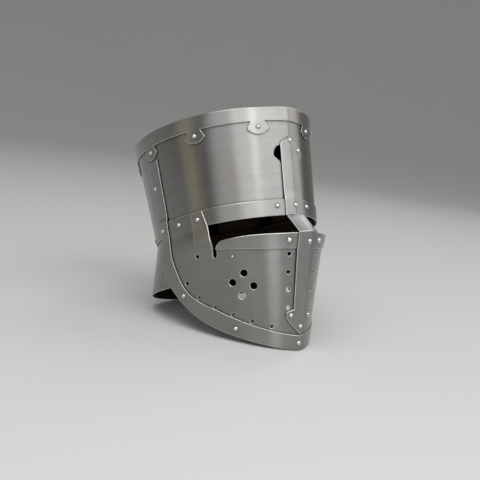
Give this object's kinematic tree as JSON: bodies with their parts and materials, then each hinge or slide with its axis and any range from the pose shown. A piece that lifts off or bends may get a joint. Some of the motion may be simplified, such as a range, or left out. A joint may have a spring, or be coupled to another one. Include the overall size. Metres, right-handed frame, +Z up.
{
  "type": "great helm",
  "caption": "Closed great helm of riveted steel plates with a flat top, keeled face, eye slots and breaths.",
  "frame": {"origin": "bottom centre of the helm's bounding box as it rests on a table, on the chin's point and the back of the neck plate", "axes": "+Z up; the face looks towards -Y and the wearer's right is -X; the crown's axis leans back 25.3 degrees from +Z towards +Y"},
  "size_m": [0.24, 0.3449, 0.3091],
  "materials": {
    "plate_steel": "satin",
    "band_steel": "satin",
    "rivet_steel": "polished",
    "liner_leather": "matte",
    "lace_leather": "matte"
  },
  "bodies": {
    "root": {"top_plate": "plate_steel", "crown_front": "plate_steel", "crown_back": "plate_steel", "neck_plate": "plate_steel", "face_plate": "plate_steel", "brow_band": "band_steel", "cheek_band": "band_steel", "nasal_strap": "band_steel", "rim_band": "band_steel", "tab_rivets": "rivet_steel", "seam_rivets": "rivet_steel", "side_rivets": "rivet_steel", "cheek_tab_rivets": "rivet_steel", "brow_band_rivets": "rivet_steel", "neck_rivets": "rivet_steel", "cheek_band_rivets": "rivet_steel", "cheek_dots": "rivet_steel", "rim_rivets": "rivet_steel", "strap_head_rivets": "rivet_steel", "strap_brow_rivet": "rivet_steel", "strap_face_rivet": "rivet_steel", "spade_rivets": "rivet_steel", "liner_headband": "liner_leather", "liner_petal_front": "liner_leather", "liner_petal_front_right": "liner_leather", "liner_petal_right": "liner_leather", "liner_petal_back_right": "liner_leather", "liner_petal_back": "liner_leather", "liner_petal_back_left": "liner_leather", "liner_petal_left": "liner_leather", "liner_petal_front_left": "liner_leather", "liner_lace": "lace_leather"}
  },
  "joints": []
}
